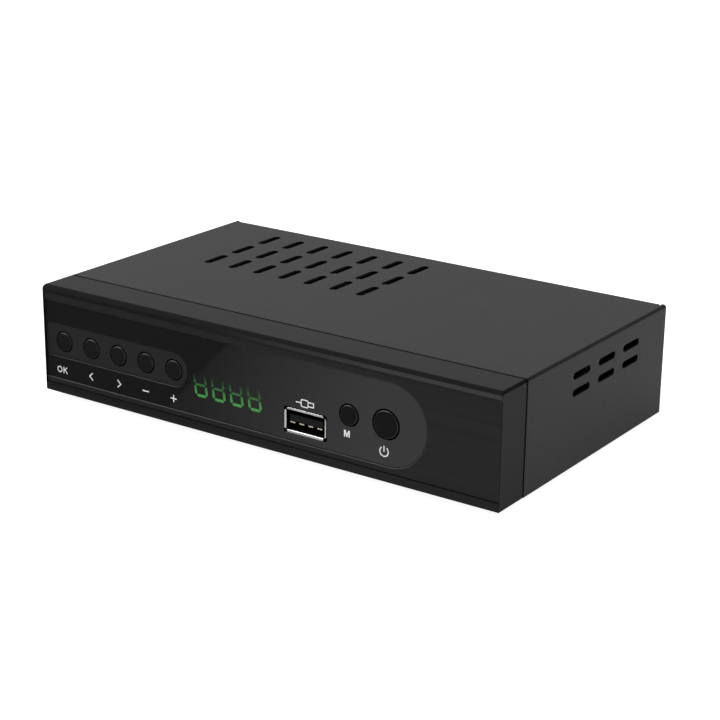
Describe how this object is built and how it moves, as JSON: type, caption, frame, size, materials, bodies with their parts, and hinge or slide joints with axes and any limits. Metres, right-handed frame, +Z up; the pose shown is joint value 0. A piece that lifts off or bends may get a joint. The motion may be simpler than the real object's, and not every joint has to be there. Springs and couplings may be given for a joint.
{
  "type": "television receiver and recorder box",
  "caption": "Low black set-top receiver box with a pill-shaped glossy control panel, round push buttons, digit display, USB port, vented folded steel cover and rear sockets.",
  "frame": {"origin": "middle of the underside of the whole object's box, on the plane that the feet stand on", "axes": "+X to the right seen from the front, +Y from the front to the rear sockets, +Z up"},
  "size_m": [0.156, 0.0992, 0.0342],
  "materials": {
    "painted_steel": "fine matt black powder paint on folded steel sheet",
    "bezel_plastic": "satin black moulded ABS",
    "fascia": "black, with a fine horizontal brushed grain",
    "smoked_lens": "polished smoked acrylic, printed black behind",
    "key_plastic": "satin black",
    "black_plastic": "moulded black",
    "switch_steel": "stamped sheet",
    "rubber": "matt moulded rubber",
    "bright_steel": "tin plated",
    "gold": "gold plated contacts",
    "board": "green solder mask on glass epoxy",
    "screw_steel": "blackened steel",
    "ferrite": "moulded ferrite",
    "capacitor_sleeve": "shrink sleeve on an aluminium can",
    "aluminium": "extruded",
    "coax_insert": "orange insulator"
  },
  "bodies": {
    "case": {"aerial_in_socket": "bright_steel", "aerial_out_socket": "bright_steel", "base_chassis": "painted_steel", "board_header": "black_plastic", "board_screw_front_left": "screw_steel", "board_screw_front_right": "screw_steel", "board_screw_rear_left": "screw_steel", "board_screw_rear_right": "screw_steel", "coax_audio_socket": "coax_insert", "cover_screw_left": "screw_steel", "cover_screw_right": "screw_steel", "crystal_can": "bright_steel", "digit_display": "black_plastic", "display_lens": "smoked_lens", "fascia_plate": "fascia", "flash_chip": "black_plastic", "foot_front_left": "rubber", "foot_front_right": "rubber", "foot_rear_left": "rubber", "foot_rear_right": "rubber", "front_bezel": "bezel_plastic", "front_board": "board", "hdmi_shell": "bright_steel", "hdmi_tongue": "black_plastic", "heat_sink": "aluminium", "input_capacitor": "capacitor_sleeve", "ir_receiver": "black_plastic", "left_switch_body": "switch_steel", "main_board": "board", "memory_chip": "black_plastic", "menu_switch_body": "switch_steel", "minus_switch_body": "switch_steel", "ok_switch_body": "switch_steel", "output_capacitor": "capacitor_sleeve", "plus_switch_body": "switch_steel", "power_inductor": "ferrite", "power_inlet": "black_plastic", "power_switch_body": "switch_steel", "right_switch_body": "switch_steel", "scart_socket": "black_plastic", "system_chip": "black_plastic", "top_cover": "painted_steel", "tuner_can": "bright_steel", "usb_contacts": "gold", "usb_shell": "bright_steel", "usb_tongue": "black_plastic"},
    "ok_key": {"ok_button": "key_plastic", "ok_switch_plunger": "black_plastic"},
    "left_key": {"left_button": "key_plastic", "left_switch_plunger": "black_plastic"},
    "right_key": {"right_button": "key_plastic", "right_switch_plunger": "black_plastic"},
    "minus_key": {"minus_button": "key_plastic", "minus_switch_plunger": "black_plastic"},
    "plus_key": {"plus_button": "key_plastic", "plus_switch_plunger": "black_plastic"},
    "menu_key": {"menu_button": "key_plastic", "menu_switch_plunger": "black_plastic"},
    "power_key": {"power_button": "key_plastic", "power_switch_plunger": "black_plastic"}
  },
  "joints": [
    {"name": "ok_press", "type": "slide", "parent": "case", "child": "ok_key", "axis": [0, 1, 0], "range_m": [0, 0.0005], "stiffness_N_per_m": 1000, "springref_m": -0.0005},
    {"name": "left_press", "type": "slide", "parent": "case", "child": "left_key", "axis": [0, 1, 0], "range_m": [0, 0.0005], "stiffness_N_per_m": 1000, "springref_m": -0.0005},
    {"name": "right_press", "type": "slide", "parent": "case", "child": "right_key", "axis": [0, 1, 0], "range_m": [0, 0.0005], "stiffness_N_per_m": 1000, "springref_m": -0.0005},
    {"name": "minus_press", "type": "slide", "parent": "case", "child": "minus_key", "axis": [0, 1, 0], "range_m": [0, 0.0005], "stiffness_N_per_m": 1000, "springref_m": -0.0005},
    {"name": "plus_press", "type": "slide", "parent": "case", "child": "plus_key", "axis": [0, 1, 0], "range_m": [0, 0.0005], "stiffness_N_per_m": 1000, "springref_m": -0.0005},
    {"name": "menu_press", "type": "slide", "parent": "case", "child": "menu_key", "axis": [0, 1, 0], "range_m": [0, 0.0005], "stiffness_N_per_m": 1000, "springref_m": -0.0005},
    {"name": "power_press", "type": "slide", "parent": "case", "child": "power_key", "axis": [0, 1, 0], "range_m": [0, 0.0005], "stiffness_N_per_m": 1000, "springref_m": -0.0005}
  ]
}
